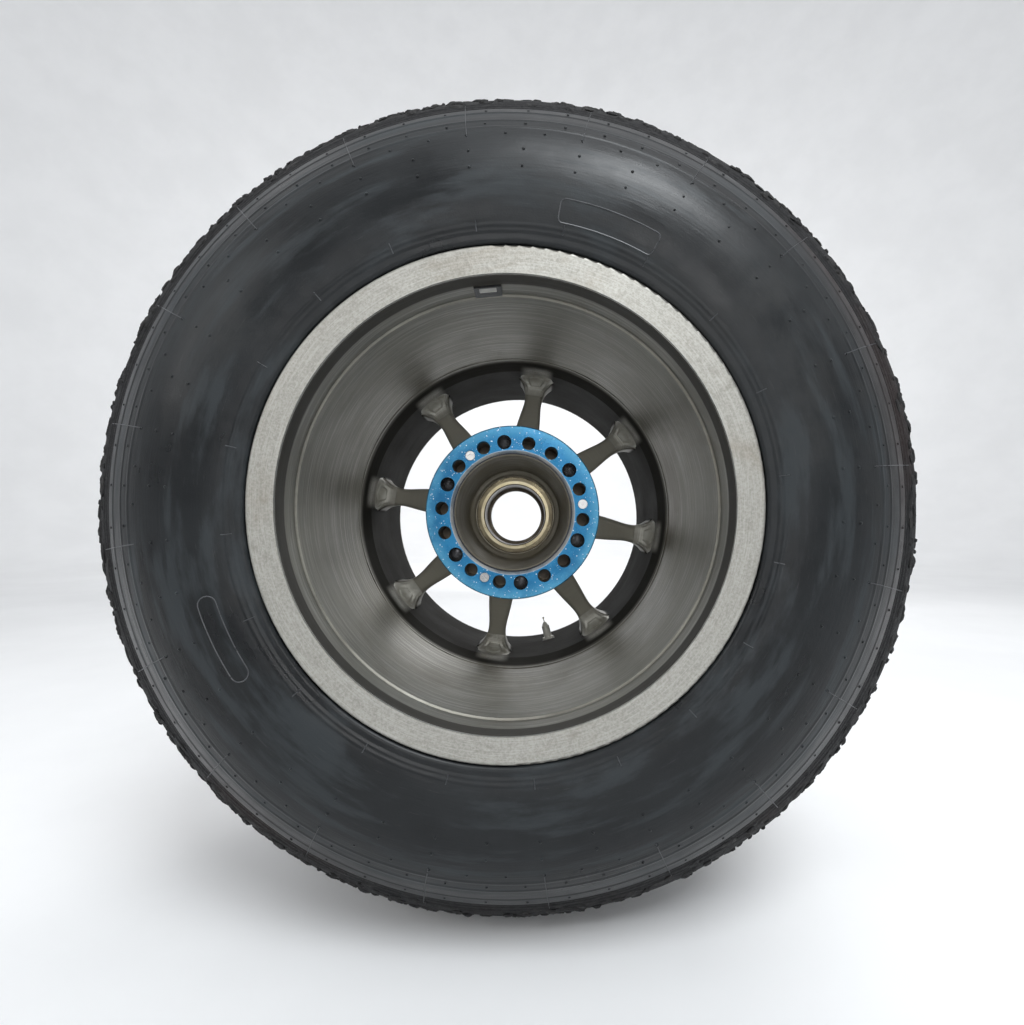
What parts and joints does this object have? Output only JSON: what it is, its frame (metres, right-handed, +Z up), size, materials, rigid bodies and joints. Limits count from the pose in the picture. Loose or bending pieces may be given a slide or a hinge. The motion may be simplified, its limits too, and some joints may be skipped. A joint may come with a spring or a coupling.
{
  "type": "racing wheel",
  "caption": "Rear racing wheel with slick tyre, deep open barrel, forged spokes, drive ring and captive centre nut.",
  "frame": {"origin": "the wheel's centre, on the axle axis midway between the two rim flanges", "axes": "+Y along the axle from the inboard side to the outboard side, +Z up"},
  "size_m": [0.6597, 0.374, 0.6598],
  "materials": {
    "tread": "worn slick rubber",
    "belts": "rubber-coated cord",
    "casing": "rubber-coated plies",
    "liner": "smooth butyl",
    "sidewall": "moulded rubber",
    "bead_wire": "bronzed wire",
    "filler": "hard rubber",
    "forging": "satin olive-grey coating, bare at the flange",
    "blue_anodised": "blue anodised, worn",
    "black_steel": "black oxide",
    "bright_steel": "bright zinc",
    "seal": "smooth",
    "seat_steel": "ground",
    "nut_gold": "champagne anodised",
    "spring_steel": "oiled",
    "valve_metal": "polished",
    "valve_rubber": "moulded",
    "brass": "turned",
    "tag_plastic": "moulded",
    "tag_label": "matt film"
  },
  "bodies": {
    "wheel": {"tread": "tread", "belt_package": "belts", "carcass": "casing", "inner_liner": "liner", "sidewall_inboard": "sidewall", "sidewall_outboard": "sidewall", "bead_core_inboard": "bead_wire", "bead_core_outboard": "bead_wire", "bead_filler_inboard": "filler", "bead_filler_outboard": "filler", "wheel_rim": "forging", "wheel_centre": "forging", "drive_flange": "forging", "drive_ring": "blue_anodised", "drive_pegs": "black_steel", "ring_screws": "bright_steel", "hub_seal_ring": "seal", "nut_seat": "seat_steel", "nut_retaining_ring": "spring_steel", "valve_stem": "valve_metal", "valve_grommet": "valve_rubber", "valve_washer": "bright_steel", "valve_nut": "valve_metal", "valve_core_body": "brass", "valve_core_seal": "valve_rubber", "valve_core_cap": "valve_metal", "valve_spring": "spring_steel", "rim_tag": "tag_plastic", "rim_tag_label": "tag_label"},
    "wheel_nut": {"wheel_nut": "nut_gold"},
    "valve_pin": {"valve_pin": "brass"}
  },
  "joints": [
    {"name": "wheel_nut_spin", "type": "hinge", "parent": "wheel", "child": "wheel_nut", "pos_m": [0, 0.058, 0], "axis": [0, 1, 0], "continuous": true},
    {"name": "valve_pin_press", "type": "slide", "parent": "wheel", "child": "valve_pin", "axis": [0.2504, 0, -0.9681], "range_m": [0, 0.0012], "stiffness_N_per_m": 1500, "springref_m": -0.0008, "deforming": ["valve_spring"]}
  ]
}
